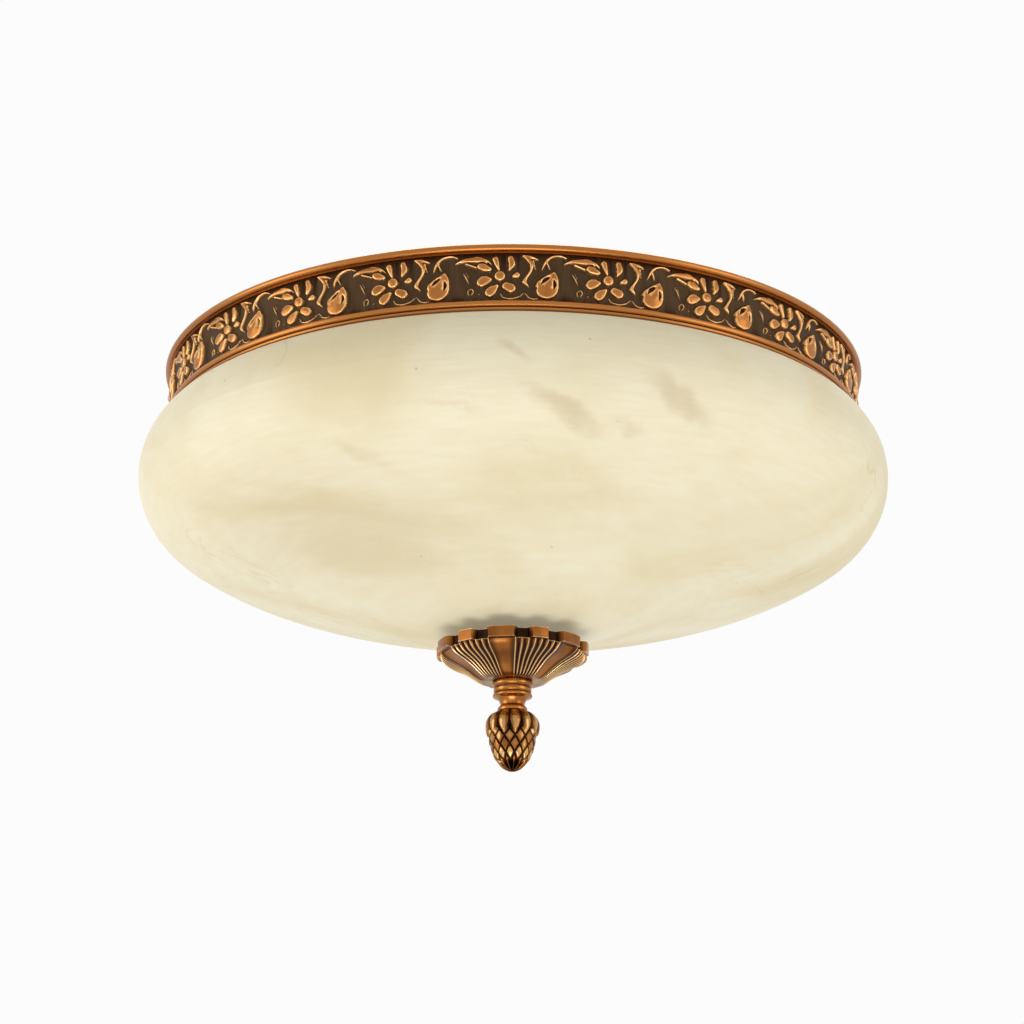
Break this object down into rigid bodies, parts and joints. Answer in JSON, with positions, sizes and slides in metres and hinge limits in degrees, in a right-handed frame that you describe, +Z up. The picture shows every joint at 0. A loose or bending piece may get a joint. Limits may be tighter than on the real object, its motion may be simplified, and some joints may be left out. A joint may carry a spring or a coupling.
{
  "type": "flush ceiling light",
  "caption": "Flush ceiling light: alabaster bowl under a cast floral band, held by a fluted cup and acorn finial on a hollow stem.",
  "frame": {"origin": "on the stem's axis in the ceiling plane, midway between the crossbar's two slots, at the top face of its ears", "axes": "+Z points up to the ceiling along the stem, +X runs along the crossbar, -Y is the side seen in the picture"},
  "size_m": [0.4499, 0.45, 0.242],
  "materials": {
    "cast_bronze": "cast brass, dark bronze patina rubbed bright on the high points",
    "fluted_bronze": "cast brass, bronze patina, polished edges",
    "spun_brass": "spun brass, lacquered, satin",
    "finial_brass": "turned and chased brass, antiqued in the hollows",
    "alabaster": "turned alabaster, waxed, satin",
    "white_enamel": "stove enamel, satin",
    "zinc_steel": "zinc plated steel",
    "bare_brass": "machined brass",
    "black_phenolic": "moulded phenolic",
    "white_porcelain": "glazed porcelain",
    "bulb_cap_metal": "pressed aluminium",
    "frosted_glass": "frosted",
    "ivory_nylon": "moulded nylon",
    "lead_brown": "insulation, matt",
    "lead_blue": "insulation, matt",
    "lead_green_yellow": "insulation, matt",
    "grey_rubber": "moulded, matt",
    "cream_felt": "pressed felt"
  },
  "bodies": {
    "root": {"crossbar": "zinc_steel", "earth_screw": "bare_brass", "ceiling_pan": "white_enamel", "pan_washer": "zinc_steel", "stem": "zinc_steel", "stem_nuts": "zinc_steel", "stem_lock_washers": "zinc_steel", "cluster_body": "white_enamel", "cluster_lid": "white_enamel", "holder_nipples": "zinc_steel", "nipple_nuts": "zinc_steel", "holder_leads": "lead_brown", "terminal_block": "ivory_nylon", "terminal_screws": "bare_brass", "live_lead": "lead_brown", "neutral_lead": "lead_blue", "earth_lead": "lead_green_yellow", "upper_moulding": "spun_brass", "gallery_frieze": "cast_bronze", "lower_moulding": "spun_brass", "band_screws": "bare_brass", "rim_felt": "cream_felt", "lampholder_shell_1": "black_phenolic", "lampholder_insert_1": "white_porcelain", "screw_sleeve_1": "bare_brass", "lampholder_shell_2": "black_phenolic", "lampholder_insert_2": "white_porcelain", "screw_sleeve_2": "bare_brass", "lampholder_shell_3": "black_phenolic", "lampholder_insert_3": "white_porcelain", "screw_sleeve_3": "bare_brass"},
    "bowl": {"alabaster_bowl": "alabaster", "bowl_grommet": "grey_rubber", "foot_gasket": "grey_rubber"},
    "cup": {"fluted_cup": "fluted_bronze"},
    "finial": {"finial_collar": "finial_brass", "finial_acorn": "finial_brass"},
    "bulb_1": {"bulb_cap_1": "bulb_cap_metal", "bulb_globe_1": "frosted_glass"},
    "bulb_2": {"bulb_cap_2": "bulb_cap_metal", "bulb_globe_2": "frosted_glass"},
    "bulb_3": {"bulb_cap_3": "bulb_cap_metal", "bulb_globe_3": "frosted_glass"}
  },
  "joints": [
    {"name": "bowl_lower", "type": "slide", "parent": "root", "child": "bowl", "axis": [0, 0, -1], "range_m": [0, 0.16]},
    {"name": "cup_drop", "type": "slide", "parent": "bowl", "child": "cup", "axis": [0, 0, -1], "range_m": [0, 0.012]},
    {"name": "finial_spin", "type": "hinge", "parent": "cup", "child": "finial", "pos_m": [0, 0, -0.21], "axis": [0, 0, -1], "range_deg": [0, 4320]},
    {"name": "bulb_1_out", "type": "slide", "parent": "root", "child": "bulb_1", "axis": [0, 1, 0], "range_m": [0, 0.026]},
    {"name": "bulb_2_out", "type": "slide", "parent": "root", "child": "bulb_2", "axis": [-0.866, -0.5, 0], "range_m": [0, 0.026]},
    {"name": "bulb_3_out", "type": "slide", "parent": "root", "child": "bulb_3", "axis": [0.866, -0.5, 0], "range_m": [0, 0.026]}
  ],
  "couplings": [
    {"joint": "finial_spin", "follows": "cup_drop", "rad_per_m": 6283.2}
  ]
}
